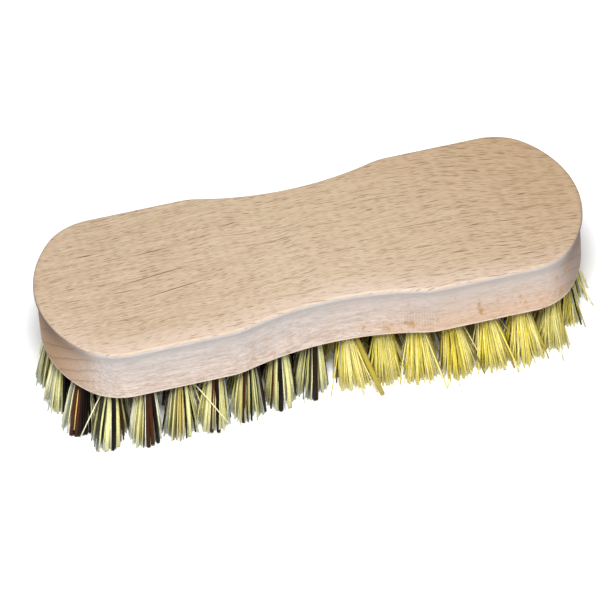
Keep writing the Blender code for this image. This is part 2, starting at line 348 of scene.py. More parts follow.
        # Where the painted highlight on the bottom edge shows.
        arris = self.add("Attribute", out="Fac", attribute_name="arris")
        shown = self.add("Math", (end, self.rings_on_end, self.rings_on_side), operation="MULTIPLY_ADD")
        patches = self.flecks(self.ragged(grain), self.side_flecks)
        patches_kept = self.add("MapRange", (high, *self.flecks_kept_high))
        side = self.toned(
            self.toned(linear(self.side_dark), [(Tone(self.side_light), [shade])]),
            [
                (self.side_pink, [pinkness]),
                (self.side_warm, [self.warmth(patch, self.side_warms_mm), low]),
                (self.cutter_mark, self.ripples()),
                # Painted shade, greyer high up under the lip.
                (self.upper_side_shade, [high]),
                # Painted shade in the cove.
                (self.cove_shade, [self.near(Axis.UP, self.cove_line_mm)]),
                (self.end_brown, [brown]),
                (self.shaded_end, [plus_end]),
                # Painted shade on the ends.
                (self.end_shade, [end_shade_share, brown]),
                (self.lip_shadow, [self.near(Axis.UP, self.lip_line_mm), brown]),
                # Painted highlight on the bottom edge's round.
                (self.arris_highlight, [arris]),
                (self.ring_brown, [self.rings(grain), shown]),
                (self.side_fleck, [patches, patches_kept]),
            ],
        )
        on_face = self.past(Axis.UP, self.face_height_mm)
        least, most = self.roughness - self.rough_spread, self.roughness + self.rough_spread
        relief = self.add("Math", (fibre, lines), operation="SUBTRACT")
        bump = {"Strength": self.relief_shown, "Distance": self.grain_relief, "Height": relief}
        return self.done(
            {
                "Base Color": self.add("Mix", {0: on_face, 6: side, 7: face}, 2, data_type="RGBA"),
                "Roughness": self.add("MapRange", (fibre, 0.0, 1.0, least, most)),
                "Normal": self.add("Bump", bump),
            }
        )

    def place(self, axis: Axis) -> Socket:
        """A place's distance along one of the brush's axes."""
        return self.add("SeparateXYZ", (self.add("TexCoord", out="Object"),), axis.value)

    def past(self, axis: Axis, over_mm: Pair) -> Socket:
        """How far a place is past the first of two places on an axis, on the way to the second."""
        return self.add("MapRange", (self.place(axis), over_mm[0] * MM, over_mm[1] * MM))

    def near(self, axis: Axis, line_mm: Triple) -> Socket:
        """How near a place is to a line.

        Args:
            axis: the axis that the line lies across.
            line_mm: where it is, and the distances from it where the share is zero and full.

        Returns:
            The socket of the share.
        """
        away = self.add("Math", (self.place(axis), line_mm[0] * MM), operation="SUBTRACT")
        away = self.add("Math", (away,), operation="ABSOLUTE")
        return self.add("MapRange", (away, line_mm[1] * MM, line_mm[2] * MM))

    def grain_space(self) -> Socket:
        """Gives a place in the wood in millimetres along, across and up the grain.

        The grain runs along the brush on the -X half and swings away to the back as it nears the other
        end, most of all on the far side.

        Returns:
            The socket of the place.
        """
        place = self.add("TexCoord", out="Object")
        place = self.add("VectorMath", {0: place, "Scale": MM_PER_M}, operation="SCALE")
        along, across, up = self.add("SeparateXYZ", (place,)).node.outputs
        beyond = self.add("Math", (along, self.swing_start_mm), operation="SUBTRACT")
        beyond = self.add("Math", (beyond, 0.0), operation="MAXIMUM")
        swing = self.add("Math", (beyond, beyond), operation="MULTIPLY")
        behind = self.add("Math", (across, *self.swing_behind), operation="MULTIPLY_ADD")
        swing = self.add("Math", (swing, behind), operation="MULTIPLY")
        swung = self.add("Math", (swing, self.swing_per_mm, across), operation="MULTIPLY_ADD")
        waves = {"Vector": place, "Scale": self.grain_waves_per_mm, "Detail": 1.0}
        waves = self.add("TexNoise", waves)
        swung = self.add("Math", (waves, self.grain_wave_mm, swung), operation="MULTIPLY_ADD")
        return self.add("CombineXYZ", (along, swung, up))

    def ragged(self, grain: Socket) -> Socket:
        """Shifts grain space a little from place to place, so that what is drawn there has ragged edges.

        Args:
            grain: the place in the wood.

        Returns:
            The socket of the shifted place.
        """
        noise = {"Vector": grain, "Scale": self.ragged_per_mm, "Detail": 2.0}
        noise = self.add("TexNoise", noise, "Color")
        shift = self.add("VectorMath", {0: noise, "Scale": self.ragged_mm}, operation="SCALE")
        return self.add("VectorMath", (grain, shift), operation="ADD")

    def cells(self, grain: Socket, size_mm: Triple) -> Socket:
        """Counts a place in the wood in cells of one length, width and height."""
        inverse = tuple(1.0 / size for size in size_mm)
        return self.add("VectorMath", (grain, inverse), operation="MULTIPLY")

    def noise(self, grain: Socket, size_mm: Triple, detail: float) -> Socket:
        """Noise drawn out along the grain, in patches of one length, width and height."""
        vector = self.cells(grain, size_mm)
        return self.add("TexNoise", {"Vector": vector, "Scale": 1.0, "Detail": detail})

    def flecks(self, grain: Socket, layers: tuple[RayLayer, ...]) -> Socket:
        """Scatters rays of several sizes, one in each cell of the wood and most of them faint.

        Args:
            grain: the place in the wood.
            layers: the rays' sizes and looks.

        Returns:
            The socket of how strongly the strongest ray shows.
        """
        strongest: Any = 0.0
        for rays in layers:
            place = self.cells(grain, rays.cell_mm)
            cell = {"Vector": place, "Scale": 1.0, "Randomness": self.ray_disorder}
            centre = self.add("TexVoronoi", cell, "Position")
            away = self.add("VectorMath", (place, centre), operation="SUBTRACT")
            cell_in_rays = tuple(cell / half for cell, half in zip(rays.cell_mm, rays.half_mm))
            away = self.add("VectorMath", (away, cell_in_rays), operation="MULTIPLY")
            away = self.add("VectorMath", (away,), "Value", operation="LENGTH")
            inside = self.add("MapRange", (away, self.ray_edge, rays.core))
            chance = self.add("SeparateColor", (centre.node.outputs["Color"],))
            seen = self.add("MapRange", (chance, rays.hidden_share, 1.0, 0.0, rays.strength))
            shown = self.add("Math", (seen, inside), operation="MULTIPLY")
            if rays.grows_mm is not None:
                grown = self.past(Axis.ALONG, rays.grows_mm)
                shown = self.add("Math", (shown, grown), operation="MULTIPLY")
            strongest = self.add("Math", (strongest, shown), operation="MAXIMUM")
        return strongest

    def long_lines(self, strongest: Socket) -> Socket:
        """Draws the long lines of the top face over its shorter flecks.

        Args:
            strongest: how strongly the flecks show.

        Returns:
            The socket of how strongly the lines and the flecks show.
        """
        for ray in self.long_rays:
            middle = (ray.middle_mm[0] * MM, ray.middle_mm[1] * MM, 0.0)
            away = (self.add("TexCoord", out="Object"), middle)
            away = self.add("VectorMath", away, operation="SUBTRACT")
            along, across, _ = self.add("SeparateXYZ", (away,)).node.outputs
            across = self.add("Math", (along, -ray.slope, across), operation="MULTIPLY_ADD")
            long, wide = MM_PER_M / ray.half_length_mm, MM_PER_M / self.long_ray_half_width_mm
            along = self.add("Math", (along, long), operation="MULTIPLY")
            across = self.add("Math", (across, wide), operation="MULTIPLY")
            away = self.add("CombineXYZ", (along, across))
            away = self.add("VectorMath", (away,), "Value", operation="LENGTH")
            line = self.add("MapRange", (away, self.ray_edge, self.long_ray_core))
            strongest = self.add("Math", (strongest, line), operation="MAXIMUM")
        return strongest

    def rings(self, grain: Socket) -> Socket:
        """Growth rings about an axis below the block, which show as arcs on its ends.

        Args:
            grain: the place in the wood.

        Returns:
            The socket of the ring's tone.
        """
        flat = self.add("VectorMath", (grain, (0.0, *self.ring_centre_mm)), operation="SUBTRACT")
        flat = self.add("VectorMath", (flat, (0.0, 1.0, 1.0)), operation="MULTIPLY")
        radius = self.add("VectorMath", (flat,), "Value", operation="LENGTH")
        waver = {"Vector": grain, "Scale": self.ring_wavers_per_mm, "Detail": 2.0}
        waver = self.add("TexNoise", waver)
        radius = self.add("Math", (waver, self.ring_waver_mm, radius), operation="MULTIPLY_ADD")
        count = self.add("Math", (radius, 1.0 / self.ring_pitch_mm), operation="MULTIPLY")
        part = self.add("Math", (count,), operation="FRACT")
        return self.add("Math", (part, self.ring_sharpness), operation="POWER")

    def end_grain(self) -> tuple[Socket, Socket]:
        """How far a face looks along the grain, where cut fibres drink the light.

        Returns:
            The sockets of the share at both ends, and at the +X end alone.
        """
        along = self.add("SeparateXYZ", (self.add("NewGeometry", out="Normal"),))
        either = self.add("Math", (along,), operation="ABSOLUTE")
        plus_end = self.add("MapRange", (along, *self.plus_end_range))
        return self.add("MapRange", (either, *self.end_range)), plus_end

    def warmth(self, patch: Socket, over_mm: Pair) -> Socket:
        """How yellow and dark the wood is, which grows towards the +X +Y corner: partly its own tone,
        partly painted shade.

        Args:
            patch: a noise that makes its start ragged.
            over_mm: where it starts and where it is full, along the brush.

        Returns:
            The socket of the share.
        """
        corner = (self.place(Axis.ACROSS), self.warm_across, self.place(Axis.ALONG))
        along = self.add("Math", corner, operation="MULTIPLY_ADD")
        along = self.add("Math", (patch, self.warm_ragged_mm * MM, along), operation="MULTIPLY_ADD")
        return self.add("MapRange", (along, over_mm[0] * MM, over_mm[1] * MM))

    def ripples(self) -> list[Socket]:
        """Fine upright marks of the shaping cutter, on the side past the waist where it turns.

        Returns:
            The shares that say where a mark shows: near its line, near its height, and on its wave.
        """
        scale = MM_PER_M / self.ripple_pitch_mm * math.tau / 20
        wave = {"Vector": self.add("TexCoord", out="Object"), "Scale": scale}
        wave["Distortion"] = self.ripple_waver
        waves = self.add("TexWave", wave, "Fac", bands_direction="X")
        near_line = self.near(Axis.ALONG, self.ripple_line_mm)
        return [near_line, self.near(Axis.UP, self.ripple_height_mm), waves]


@dataclass(frozen=True)
class PlantFibre(Finish):
    """Plant fibre, dressed and cut to length: silky, a little glossy, and uneven in shade.

    A piece's "shade" attribute holds each fibre's own shade, "tint" how far its hue is off, and "along"
    runs from its cut tip to the hole. Towards the hole each fibre darkens to its root tone, a painted
    shade.
    """

    shades: tuple[str, ...]
    tint: Tone
    tip: Tone
    # root: the painted shade that darkens the fibres towards the hole.
    root: Tone
    roughness: float = 0.48
    gloss: float = 0.4
    streak_size_mm: float = 0.12
    streak_values: Pair = (0.5, 1.4)
    streak_relief: float = 0.02 * MM
    relief_shown: float = 0.3
    tip_end: float = 0.2
    # Where along the fibre the root's painted shade starts and is full.
    root_shade_range: Pair = (0.6, 1.2)

    def build(self) -> bpy.types.Material:
        """Builds the fibre's node tree over its attributes and object coordinates."""
        self.start()
        shade, tint, along = (
            self.add("Attribute", out="Fac", attribute_name=name) for name in ("shade", "tint", "along")
        )
        hue = self.add("ValToRGB", (shade,))
        stops = hue.node.color_ramp.elements
        while len(stops) < len(self.shades):
            stops.new(1.0)
        for i, stop in enumerate(stops):
            stop.position = i / (len(self.shades) - 1)
            stop.color = linear(self.shades[i])
        hue = self.toned(hue, [(self.tint, [tint])])
        per_metre = MM_PER_M / self.streak_size_mm
        drawn_out = (self.add("TexCoord", out="Object"), (per_metre, per_metre, per_metre / 20))
        drawn_out = self.add("VectorMath", drawn_out, operation="MULTIPLY")
        streaks = self.add("TexNoise", {"Vector": drawn_out, "Scale": 1.0, "Detail": 1.0})
        value = self.add("MapRange", (streaks, 0.0, 1.0, *self.streak_values))
        colour = self.add("HueSaturation", {"Color": hue, "Value": value})
        at_tip = self.add("MapRange", (along, self.tip_end, 0.0))
        # Painted shade towards the hole.
        root_shade = self.add("MapRange", (along, *self.root_shade_range))
        bump = {"Strength": self.relief_shown, "Distance": self.streak_relief, "Height": streaks}
        return self.done(
            {
                "Base Color": self.toned(colour, [(self.tip, [at_tip]), (self.root, [root_shade])]),
                "Roughness": self.roughness,
                "Specular IOR Level": self.gloss,
                "Normal": self.add("Bump", bump),
            }
        )


@dataclass(frozen=True)
class Tampico(PlantFibre):
    """Undyed agave fibre: pale greenish straw, with silvery grey cut ends."""

    name: str = "tampico_fibre"
    shades: tuple[str, ...] = ("26260F", "ABA666", "DAD88E", "ECE8A8", "F8F6D6")
    tint: Tone = Tone("E6CE6E")
    tip: Tone = Tone("C8D4D2", 0.5)
    root: Tone = Tone("1C1C14", 0.95)


@dataclass(frozen=True)
class YellowTampico(PlantFibre):
    """Agave fibre tinted yellow: warm straw with olive strands between the bright ones."""

    name: str = "yellow_tampico_fibre"
    shades: tuple[str, ...] = ("544610", "CCB63C", "ECDA4B", "F6E667", "F9EEA2")
    tint: Tone = Tone("D4D08C")
    tip: Tone = Tone("E4DC9C", 0.5)
    root: Tone = Tone("3A260E", 0.95)


@dataclass(frozen=True)
class Bassine(PlantFibre):
    """Palm fibre: thick and stiff, from near black to red-brown, with a dull shine."""

    name: str = "bassine_fibre"
    shades: tuple[str, ...] = ("060505", "26130A", "54290F")
    tint: Tone = Tone("26130A")
    tip: Tone = Tone("22160F", 0.5)
    root: Tone = Tone("0C0807", 0.95)
    roughness: float = 0.5
    gloss: float = 0.12


@dataclass(frozen=True)
class GreyTampico(PlantFibre):
    """Agave fibre in single blue-grey strands at the tufts' edges and the brush's ends, which cool the
    fringe: a painted shade.
    """

    name: str = "grey_tampico_fibre"
    shades: tuple[str, ...] = ("3C4648", "9CAAAC", "D2DCDA")
    tint: Tone = Tone("9CAAAC")
    tip: Tone = Tone("DCE6E4", 0.5)
    root: Tone = Tone("2A2E2C", 0.95)


@dataclass(frozen=True)
class GalvanisedWire(Finish):
    """Drawn steel wire with a zinc coat: soft grey shine with fine draw lines."""

    name: str = "galvanised_wire"
    colour: str = "A9A9A4"
    roughness: Pair = (0.3, 0.46)
    lines_per_metre: float = 6000.0

    def build(self) -> bpy.types.Material:
        """Builds the wire's node tree."""
        self.start()
        place = self.add("TexCoord", out="Object")
        lines = self.add("TexNoise", {"Vector": place, "Scale": self.lines_per_metre, "Detail": 1.0})
        rough = self.add("MapRange", (lines, 0.0, 1.0, *self.roughness))
        return self.done({"Base Color": linear(self.colour), "Metallic": 1.0, "Roughness": rough})


@dataclass(frozen=True)
class MattPaper(Finish):
    """Matt white paper over a faint light table, which keeps the shadow on it soft and pale."""

    name: str = "matt_paper"
    colour: str = "FFFFFF"
    glow: float = 0.1
    roughness: float = 0.95
    gloss: float = 0.1

    def build(self) -> bpy.types.Material:
        """Builds the paper's node tree."""
        self.start()
        return self.done(
            {
                "Base Color": linear(self.colour),
                "Roughness": self.roughness,
                "Specular IOR Level": self.gloss,
                "Emission Color": linear(self.colour),
                "Emission Strength": self.glow,
            }
        )


def finished(bm: bmesh.types.BMesh, name: str, materials: list[bpy.types.Material]) -> bpy.types.Object:
    """Turns a bmesh into an object at the origin.

    Args:
        bm: the finished shape, which is freed.
        name: the object's name.
        materials: its material slots, in order.

    Returns:
        The new object, linked to the scene.
    """
    mesh = bpy.data.meshes.new(name)
    bm.to_mesh(mesh)
    bm.free()
    for material in materials:
        mesh.materials.append(material)
    obj = bpy.data.objects.new(name, mesh)
    bpy.context.scene.collection.objects.link(obj)
    return obj


@dataclass
class BlockOutline:
    """The block's outline seen from above, as tangent arcs about fixed centres.

    Steps are the points on a quarter's end, corner, shoulder and waist.
    """

    length: float = 135.0 * MM
    width: float = 50.1 * MM
    waist_depth: float = 4.0 * MM
    waist_radius: float = 71.6 * MM
    shoulder_radius: float = 15.4 * MM
    corner_radius: float = 14.3 * MM
    end_bow: float = 12.6 * MM

    def arc(self, centre: Vector, radius: float, start: float, end: float, steps: int) -> list[Vector]:
        """Points along an arc from its start angle on, without the one at its end angle."""
        angles = [start + (end - start) * i / steps for i in range(steps)]
        return [centre + radius * Vector((math.cos(a), math.sin(a))) for a in angles]

    def quarter(self, inset: float, steps: Steps) -> list[Vector]:
        """The +X +Y quarter, from the end to the waist.

        Args:
            inset: how far it is moved inwards.
            steps: points on each of its stretches.

        Returns:
            The points in order.
        """
        half_width = self.width / 2
        end_radius = (half_width**2 + self.end_bow**2) / (2 * self.end_bow)
        end_centre = Vector((self.length / 2 - end_radius, 0.0))
        corner_rise = half_width - self.corner_radius
        corner_run = math.sqrt((end_radius - self.corner_radius) ** 2 - corner_rise**2)
        corner_centre = end_centre + Vector((corner_run, corner_rise))
        bends = self.waist_radius + self.shoulder_radius
        shoulder_run = math.sqrt(bends**2 - (bends - self.waist_depth) ** 2)
        shoulder_centre = Vector((shoulder_run, half_width - self.shoulder_radius))
        waist_centre = Vector((0.0, half_width - self.waist_depth + self.waist_radius))
        end_angle = math.atan2(corner_rise, corner_run)
        to_waist = waist_centre - shoulder_centre
        turn = math.atan2(to_waist.y, to_waist.x)
        up = math.pi / 2
        corner, shoulder = self.corner_radius - inset, self.shoulder_radius - inset
        waist = self.waist_radius + inset
        points = self.arc(end_centre, end_radius - inset, 0.0, end_angle, steps[0])
        points += self.arc(corner_centre, corner, end_angle, up, steps[1])
        points.append(corner_centre + Vector((0.0, corner)))
        points += self.arc(shoulder_centre, shoulder, up, turn, steps[2])
        points += self.arc(waist_centre, waist, turn - math.pi, -up, steps[3])
        points.append(waist_centre - Vector((0.0, waist)))
        return points

    def whole(self, inset: float, steps: Steps) -> list[Vector]:
        """The whole outline, counterclockwise from the +X end.

        Args:
            inset: how far it is moved inwards.
            steps: points on each stretch of a quarter.

        Returns:
            The points in order.
        """
        quarter = self.quarter(inset, steps)
        half = quarter + [Vector((-p.x, p.y)) for p in reversed(quarter[:-1])]
        return half + [Vector((p.x, -p.y)) for p in reversed(half[1:-1])]

    def normals(self, steps: Steps) -> list[Vector]:
        """The directions that the outline faces at its points.

        Args:
            steps: points on each stretch of a quarter.

        Returns:
            Unit vectors in the points' order.
        """
        points = self.whole(0.0, steps)
        ways = [points[(i + 1) % len(points)] - points[i - 1] for i in range(len(points))]
        return [Vector((way.y, -way.x)).normalized() for way in ways]


@dataclass
class TuftPlace:
    """Where one tuft's hole is, and which way it leans."""

    half: Half
    row: Row
    number: int
    mouth: Vector
    outward: float
    lean: float

    @property
    def node(self) -> str:
        """The name of the tuft's solid in the frame."""
        return f"{self.half.value}_{self.row.value}_tuft_{self.number:02d}"

    @property
    def matrix(self) -> Matrix:
        """Puts an upright tuft, its origin at the hole's mouth, where it belongs."""
        turned = Matrix.Translation(self.mouth) @ Matrix.Rotation(self.outward, 4, "Z")
        return turned @ Matrix.Rotation(-self.lean, 4, "Y")


@dataclass
class TuftField:
    """The pattern of the tuft holes in the underside of the block."""

    outline: BlockOutline
    underside: float = 15.5 * MM
    outer_count: int = 36
    outer_inset: float = 4.5 * MM
    outer_lean: float = math.radians(6.0)
    inner_count: int = 10
    row_gap: float = 8.3 * MM
    length_steps: int = 40

    def outer_quarter(self) -> list[Triple]:
        """Spaces the outer row evenly along one quarter of its line.

        Returns:
            X, Y and outward angle of each tuft.
        """
        points = self.outline.quarter(self.outer_inset, (self.length_steps,) * 4)
        lengths = [(b - a).length for a, b in zip(points, points[1:])]
        count = self.outer_count // 4
        pitch = sum(lengths) / count
        places: list[Triple] = []
        walked = 0.0
        for a, b, length in zip(points, points[1:], lengths):
            while len(places) < count and (len(places) + 0.5) * pitch <= walked + length:
                along = b - a
                place = a + along * (((len(places) + 0.5) * pitch - walked) / length)
                places.append((place.x, place.y, math.atan2(-along.x, along.y)))
            walked += length
        return places

    def places(self) -> list[TuftPlace]:
        """Works out every tuft's place, numbered within its half and row from the -X end.

        Returns:
            The places in order of X and then Y.
        """
        found: list[tuple[Row, float, float, float]] = []
        for x, y, angle in self.outer_quarter():
            found += [(Row.OUTER, x, y, angle), (Row.OUTER, -x, y, math.pi - angle)]
            found += [(Row.OUTER, -x, -y, math.pi + angle), (Row.OUTER, x, -y, -angle)]
        waist_line = self.outline.width / 2 - self.outline.waist_depth - self.outer_inset
        row_y = waist_line / 3
        closing_x = self.outline.length / 2 - self.outer_inset - self.row_gap
        pitch = 2 * closing_x / (self.inner_count + 0.5)
        for i in range(self.inner_count):
            x = (i - (self.inner_count - 1) / 2) * pitch
            found += [(Row.INNER, x, row_y, 0.0), (Row.INNER, x, -row_y, 0.0)]
        found += [(Row.INNER, closing_x, 0.0, 0.0), (Row.INNER, -closing_x, 0.0, 0.0)]
        counts: dict[tuple[Half, Row], int] = {}
        places = []
        for row, x, y, angle in sorted(found, key=lambda place: (place[1], place[2])):
            half = Half.HARD if x < 0 else Half.SOFT
            counts[half, row] = counts.get((half, row), 0) + 1
            mouth = Vector((x, y, self.underside))
            lean = self.outer_lean if row is Row.OUTER else 0.0
            places.append(TuftPlace(half, row, counts[half, row], mouth, angle, lean))
        return places


@dataclass
class BrushBlock:
    """The wooden block: its outline drawn up through the side profile, then drilled for the tufts."""

    outline: BlockOutline
    underside: float = 15.5 * MM
    height: float = 14.7 * MM
    lip_round: float = 0.8 * MM
    lip_height: float = 1.1 * MM
    cove_height: float = 8.0 * MM
    cove_depth: float = 0.7 * MM
    skirt_inset: float = 0.6 * MM
    edge_round: float = 0.4 * MM
    # How far above the bottom edge's round its painted highlight fades out.
    arris_fade: float = 0.4 * MM
    flat_margin: float = 0.5 * MM
    # Rings on the top face over which the rim's painted highlight fades, and how strongly it shows on the
    # lip's round.
    rim_widths: Triple = (0.5 * MM, 3.0 * MM, 6.5 * MM)
    lip_highlight: float = 0.55
    hole_diameter: float = 4.6 * MM
    hole_depth: float = 9.0 * MM
    drill_point: float = math.radians(31.0)
    outline_steps: Steps = (12, 14, 10, 12)
    cove_steps: int = 16
    round_steps: int = 5
    hole_sides: int = 28
    smooth_angle: float = math.radians(30.0)

    def profile(self) -> list[Pair]:
        """Height above the underside and inset, up the side and in over the top face."""
        skirt = self.height - self.lip_height - self.cove_height
        lines = [(0.0, self.skirt_inset + self.edge_round + self.flat_margin)]
        for i in range(self.round_steps + 1):
            angle = math.pi / 2 * (1 - i / self.round_steps)
            rise = self.edge_round * (1 - math.sin(angle))
            lines.append((rise, self.skirt_inset + self.edge_round * (1 - math.cos(angle))))
        lines.append((self.edge_round + self.arris_fade, self.skirt_inset))
        for i in range(self.cove_steps):
            share = i / self.cove_steps
            hollow = self.cove_depth * share**2 * (1 - share) * 27 / 4
            inset = self.skirt_inset * (1 - share**2) + hollow
            lines.append((skirt + self.cove_height * share, inset))
        lines.append((self.height - self.lip_height, 0.0))
        for i in range(self.round_steps + 1):
            angle = math.pi / 2 * i / self.round_steps
            rise = self.height - self.lip_round * (1 - math.sin(angle))
            lines.append((rise, self.lip_round * (1 - math.cos(angle))))
        # The top face's rings, over which the rim's painted highlight fades.
        lines += [(self.height, self.lip_round + width) for width in self.rim_widths]
        return lines

    def rim_highlight_share(self, height: float, inset: float) -> float:
        """How strongly the painted highlight shows on the rim, from one at the lip to zero well inside the
        top face.

        Args:
            height: height above the underside.
            inset: distance in from the outline.

        Returns:
            The share.
        """
        if height < self.height - self.lip_height:
            return 0.0
        if inset < self.lip_round:
            return self.lip_highlight
        past_first = (inset - self.lip_round - self.rim_widths[0]) / self.rim_widths[-1]
        return min(1.0, max(0.0, 1.0 - past_first))

    def ordered_ring(self, face: bmesh.types.BMFace) -> list[bmesh.types.BMVert]:
        """A flat face's corners, counterclockwise from the one furthest along +X.

        Args:
            face: the face that was drawn up last.

        Returns:
            Its corners in order.
        """
        corners = [loop.vert for loop in face.loops]
        if face.normal.z < 0:
            corners.reverse()
        first = max(range(len(corners)), key=lambda i: corners[i].co.x)
        return corners[first:] + corners[:first]

    def body(self, wood: bpy.types.Material) -> bpy.types.Object:
        """Draws the outline up through each line of the profile.

        Args:
            wood: the block's material.

        Returns:
            The block without its holes.
        """
        bm = bmesh.new()
        lines = self.profile()
        height, inset = lines[0]
        # The "rim" attribute holds the share of the painted highlight on the rim.
        rim = bm.verts.layers.float.new("rim")
        # The "arris" attribute marks the round of the bottom edge, where a painted highlight shows.
        arris = bm.verts.layers.float.new("arris")
        first = self.outline.whole(inset, self.outline_steps)
        underside = bm.faces.new([bm.verts.new((p.x, p.y, height)) for p in first])
        face = underside
        # How much the outline faces the front: the rim's painted highlight shows only there.
        facing = [max(0.0, -normal.y) for normal in self.outline.normals(self.outline_steps)]
        for height, inset in lines[1:]:
            drawn = bmesh.ops.extrude_face_region(bm, geom=[face])
            if face is not underside:
                bm.faces.remove(face)
            face = next(g for g in drawn["geom"] if isinstance(g, bmesh.types.BMFace))
            ring = self.outline.whole(inset, self.outline_steps)
            for vert, point, front in zip(self.ordered_ring(face), ring, facing):
                vert.co = (point.x, point.y, height)
                vert[rim] = self.rim_highlight_share(height, inset) * front
                vert[arris] = 1.0 if 0.0 < height <= self.edge_round else 0.0
        bmesh.ops.recalc_face_normals(bm, faces=bm.faces)
        bmesh.ops.translate(bm, vec=(0.0, 0.0, self.underside), verts=bm.verts)
        return finished(bm, "block_body", [wood])

    def drills(self, places: list[TuftPlace]) -> bpy.types.Object:
        """One pointed drill for each tuft, from below the underside up into the block.

        Args:
            places: the tufts' places.

        Returns:
            The drills as one object.
        """
        bm = bmesh.new()
        radius = self.hole_diameter / 2
        run_out = self.hole_diameter
        for place in places:
            drill = bmesh.ops.create_cone(
                bm,
                cap_ends=True,
                cap_tris=True,
                segments=self.hole_sides,
                radius1=radius,
                radius2=radius,
                depth=self.hole_depth + run_out,
                matrix=Matrix.Translation((0.0, 0.0, (self.hole_depth - run_out) / 2)),
            )
            for vert in drill["verts"]:
                if vert.co.z > 0 and vert.co.xy.length < radius / 2:
                    vert.co.z += radius * math.tan(self.drill_point)
            bmesh.ops.transform(bm, matrix=place.matrix, verts=drill["verts"])
        return finished(bm, "block_drills", [])

    def build(self, places: list[TuftPlace], wood: bpy.types.Material) -> bpy.types.Object:
        """Builds the drilled block and dresses it in its wood.

        Args:
            places: the tufts' places.
            wood: the block's material.

        Returns:
            The finished block.
        """
        body = self.body(wood)
        drills = self.drills(places)
        holes = body.modifiers.new("tuft_holes", "BOOLEAN")
        holes.operation = "DIFFERENCE"
        holes.solver = "EXACT"
        holes.object = drills
        graph = bpy.context.evaluated_depsgraph_get()
        mesh = bpy.data.meshes.new_from_object(body.evaluated_get(graph))
        for obj in (body, drills):
            old = obj.data
            bpy.data.objects.remove(obj)
            bpy.data.meshes.remove(old)
        mesh.name = "drilled_block"
        mesh.materials.clear()
        mesh.materials.append(wood)
        mesh.shade_smooth()
        mesh.set_sharp_from_angle(angle=self.smooth_angle)
        block = bpy.data.objects.new("drilled_block", mesh)
        bpy.context.scene.collection.objects.link(block)
        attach(block, BODY)
        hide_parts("block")
        return block


@dataclass(frozen=True)
class FibreShape:
    """How one kind of fibre is drawn."""

    sides: int
    least_width: float
    most_width: float
    flatness: float
    wander: float


FINE_FIBRE = FibreShape(4, 0.24 * MM, 0.46 * MM, 0.7, 0.3 * MM)
COARSE_FIBRE = FibreShape(4, 0.22 * MM, 0.5 * MM, 0.6, 0.35 * MM)
PALE_BLADE = FibreShape(6, 0.8 * MM, 1.3 * MM, 0.3, 0.3 * MM)
THICK_STRAND = FibreShape(7, 0.95 * MM, 1.25 * MM, 0.75, 0.12 * MM)
THIN_STRAND = FibreShape(5, 0.3 * MM, 0.55 * MM, 0.8, 0.25 * MM)
CREAM_STRAND = FibreShape(5, 0.3 * MM, 0.42 * MM, 0.7, 0.15 * MM)


@dataclass(frozen=True)
class StrandLook:
    """How a strand that stands out from a tuft is drawn: its shape, shade, material slot and tint."""

    shape: FibreShape
    shade: float
    slot: int
    tint: float = 0.0


class Strand(Enum):
    """The strands that stand out from the fine fibres."""

    BLACK = StrandLook(THICK_STRAND, 0.0, 1)
    DARK_BROWN = StrandLook(THICK_STRAND, 0.5, 1)
    RED_BROWN = StrandLook(THICK_STRAND, 0.88, 1)
    THIN_BLACK = StrandLook(THIN_STRAND, 0.05, 1)
    THIN_BROWN = StrandLook(THIN_STRAND, 0.8, 1)
    BLADE = StrandLook(PALE_BLADE, 0.6, 0)
    CREAM = StrandLook(CREAM_STRAND, 0.88, 0)
    GOLD = StrandLook(CREAM_STRAND, 0.7, 0, tint=0.9)
    OLIVE = StrandLook(THICK_STRAND, 0.2, 0)
    THIN_OLIVE = StrandLook(THIN_STRAND, 0.1, 0)
    # Blue-grey strands on the fringe, a painted shade.
    GREY = StrandLook(CREAM_STRAND, 0.5, 3)


BLACK, DARK_BROWN, RED_BROWN, THIN_BLACK, THIN_BROWN, BLADE, CREAM, GOLD, OLIVE, THIN_OLIVE, GREY = Strand
THICK_DARK = (BLACK, DARK_BROWN, RED_BROWN)
THIN_DARK = (THIN_BLACK, THIN_BLACK, THIN_BROWN)
THIN_SOFT = (THIN_OLIVE, THIN_OLIVE, THIN_BROWN)
PALE = (BLADE, CREAM)


@dataclass(frozen=True)
class TuftRecipe:
    """How a tuft of one half is filled and how it spreads."""

    folds: int
    lock_pull: float
    tip_scatter: float
    fibre: FibreShape
    shade_middle: float
    shade_spread: float
    # The middle shade of the inner tufts' fibres, darker than the outer row's: a painted shade.
    inner_painted_shade: float
    stray_share: float
    fan_bend: float
    sway: float
    end_start: float
    end_sway: float
    end_spread: float
    reach: float = 4.4 * MM


RECIPES = {
    Half.HARD: TuftRecipe(
        folds=118,
        lock_pull=0.5,
        tip_scatter=0.35 * MM,
        fibre=COARSE_FIBRE,
        shade_middle=0.6,
        shade_spread=0.27,
        inner_painted_shade=0.3,
        stray_share=0.06,
        fan_bend=0.75,
        sway=-1.5 * MM,
        end_start=56.0 * MM,
        end_sway=-0.7 * MM,
        end_spread=1.0,
    ),
    Half.SOFT: TuftRecipe(
        folds=124,
        lock_pull=0.25,
        tip_scatter=0.65 * MM,
        fibre=FINE_FIBRE,
        shade_middle=0.74,
        shade_spread=0.1,
        inner_painted_shade=0.32,
        stray_share=0.14,
        fan_bend=1.0,
        sway=0.7 * MM,
        end_start=53.0 * MM,
        end_sway=-1.2 * MM,
        end_spread=0.7,
    ),
}


